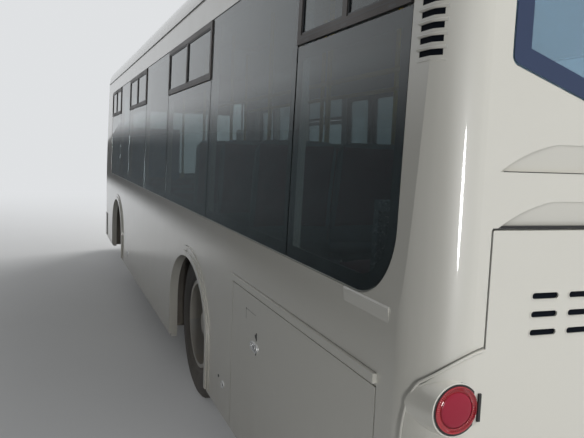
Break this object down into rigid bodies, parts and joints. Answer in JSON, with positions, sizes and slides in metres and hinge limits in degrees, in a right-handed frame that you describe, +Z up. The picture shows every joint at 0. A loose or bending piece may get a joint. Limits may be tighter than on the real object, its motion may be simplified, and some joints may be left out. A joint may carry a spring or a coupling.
{
  "type": "two-axle city bus",
  "caption": "Single-deck low-entry city bus with a hollow saloon, steered front wheels, twin rear wheels, opening doors, engine lid, side hatch and roof hatches.",
  "frame": {"origin": "on the ground under the middle of the bus, halfway along its length and on its centre line", "axes": "+X forward along the bus, +Y to its left, +Z up"},
  "size_m": [9.52, 2.534, 3.0003],
  "materials": {
    "paint": "ivory gloss enamel",
    "glass": "tinted bonded glass with a black printed border",
    "lamp_red": "fluted red lens",
    "lamp_clear": "clear lamp cover",
    "anodised": "dark anodised window sections",
    "rubber": "black rubber",
    "tyre": "road tyre",
    "rim": "grey enamel under road dust",
    "chassis": "black chassis paint",
    "iron": "bare casting",
    "trim": "grained grey moulding",
    "vinyl": "flecked floor covering",
    "seat": "maroon seat covering on a shell",
    "yellow": "yellow powder coat",
    "blue": "blue laminate",
    "black": "black moulding"
  },
  "bodies": {
    "bodywork": {"arch_trims": "paint", "chassis_frame": "chassis", "dashboard": "trim", "destination_sign": "black", "driver_partition": "blue", "driver_seat": "seat", "engine_block": "iron", "floor": "vinyl", "front_axle": "iron", "front_bumper": "paint", "front_wall": "paint", "handrails": "yellow", "headlamps": "lamp_clear", "mirrors": "black", "passenger_seats": "seat", "rear_axle": "iron", "rear_bumper": "paint", "rear_wall": "paint", "rear_window": "glass", "roof": "paint", "side_glass": "glass", "side_wall_left": "paint", "side_wall_right": "paint", "steering_wheel": "black", "tail_lamps": "lamp_red", "vent_frames": "anodised", "wheel_houses": "chassis", "windscreen": "glass", "wipers": "black"},
    "knuckle_left": {"knuckle_left": "iron"},
    "knuckle_right": {"knuckle_right": "iron"},
    "wheel_front_left": {"tyre_front_left": "tyre", "rim_front_left": "rim"},
    "wheel_front_right": {"tyre_front_right": "tyre", "rim_front_right": "rim"},
    "wheels_rear_left": {"tyres_rear_left": "tyre", "rims_rear_left": "rim"},
    "wheels_rear_right": {"tyres_rear_right": "tyre", "rims_rear_right": "rim"},
    "front_door_leaf": {"front_door": "black", "front_door_glass": "glass"},
    "mid_door_rear_leaf": {"mid_door_rear": "black", "mid_door_rear_glass": "glass"},
    "mid_door_fore_leaf": {"mid_door_fore": "black", "mid_door_fore_glass": "glass"},
    "engine_lid": {"engine_lid": "paint"},
    "side_hatch": {"side_hatch": "paint"},
    "roof_hatch_front": {"roof_hatch_front": "paint"},
    "roof_hatch_rear": {"roof_hatch_rear": "paint"}
  },
  "joints": [
    {"name": "steer_left", "type": "hinge", "parent": "bodywork", "child": "knuckle_left", "pos_m": [2.67, 0.9425, 0.5], "axis": [0, 0, 1], "range_deg": [-40, 40]},
    {"name": "steer_right", "type": "hinge", "parent": "bodywork", "child": "knuckle_right", "pos_m": [2.67, -0.9425, 0.5], "axis": [0, 0, 1], "range_deg": [-40, 40]},
    {"name": "spin_front_left", "type": "hinge", "parent": "knuckle_left", "child": "wheel_front_left", "pos_m": [2.67, 0.9925, 0.5], "axis": [0, 1, 0], "continuous": true},
    {"name": "spin_front_right", "type": "hinge", "parent": "knuckle_right", "child": "wheel_front_right", "pos_m": [2.67, -0.9925, 0.5], "axis": [0, 1, 0], "continuous": true},
    {"name": "spin_rear_left", "type": "hinge", "parent": "bodywork", "child": "wheels_rear_left", "pos_m": [-1.88, 1.0525, 0.5], "axis": [0, 1, 0], "continuous": true},
    {"name": "spin_rear_right", "type": "hinge", "parent": "bodywork", "child": "wheels_rear_right", "pos_m": [-1.88, -1.0525, 0.5], "axis": [0, 1, 0], "continuous": true},
    {"name": "front_door_swing", "type": "hinge", "parent": "bodywork", "child": "front_door_leaf", "pos_m": [3.408, -1.21, 1.38], "axis": [0, 0, 1], "range_deg": [0, 88]},
    {"name": "mid_door_rear_swing", "type": "hinge", "parent": "bodywork", "child": "mid_door_rear_leaf", "pos_m": [-0.374, -1.21, 1.38], "axis": [0, 0, 1], "range_deg": [0, 88]},
    {"name": "mid_door_fore_swing", "type": "hinge", "parent": "bodywork", "child": "mid_door_fore_leaf", "pos_m": [0.724, -1.21, 1.38], "axis": [0, 0, 1], "range_deg": [-88, 0]},
    {"name": "engine_lid_lift", "type": "hinge", "parent": "bodywork", "child": "engine_lid", "pos_m": [-4.75, 0, 1.514], "axis": [0, 1, 0], "range_deg": [0, 75]},
    {"name": "side_hatch_lift", "type": "hinge", "parent": "bodywork", "child": "side_hatch", "pos_m": [-3.725, 1.25, 1.026], "axis": [1, 0, 0], "range_deg": [0, 85]},
    {"name": "roof_hatch_front_lift", "type": "hinge", "parent": "bodywork", "child": "roof_hatch_front", "pos_m": [1.596, 0, 2.9663], "axis": [0, 1, 0], "range_deg": [0, 45]},
    {"name": "roof_hatch_rear_lift", "type": "hinge", "parent": "bodywork", "child": "roof_hatch_rear", "pos_m": [-2.004, 0, 2.9663], "axis": [0, 1, 0], "range_deg": [0, 45]}
  ],
  "couplings": [
    {"joint": "steer_right", "follows": "steer_left", "ratio": 1},
    {"joint": "mid_door_fore_swing", "follows": "mid_door_rear_swing", "ratio": -1}
  ]
}
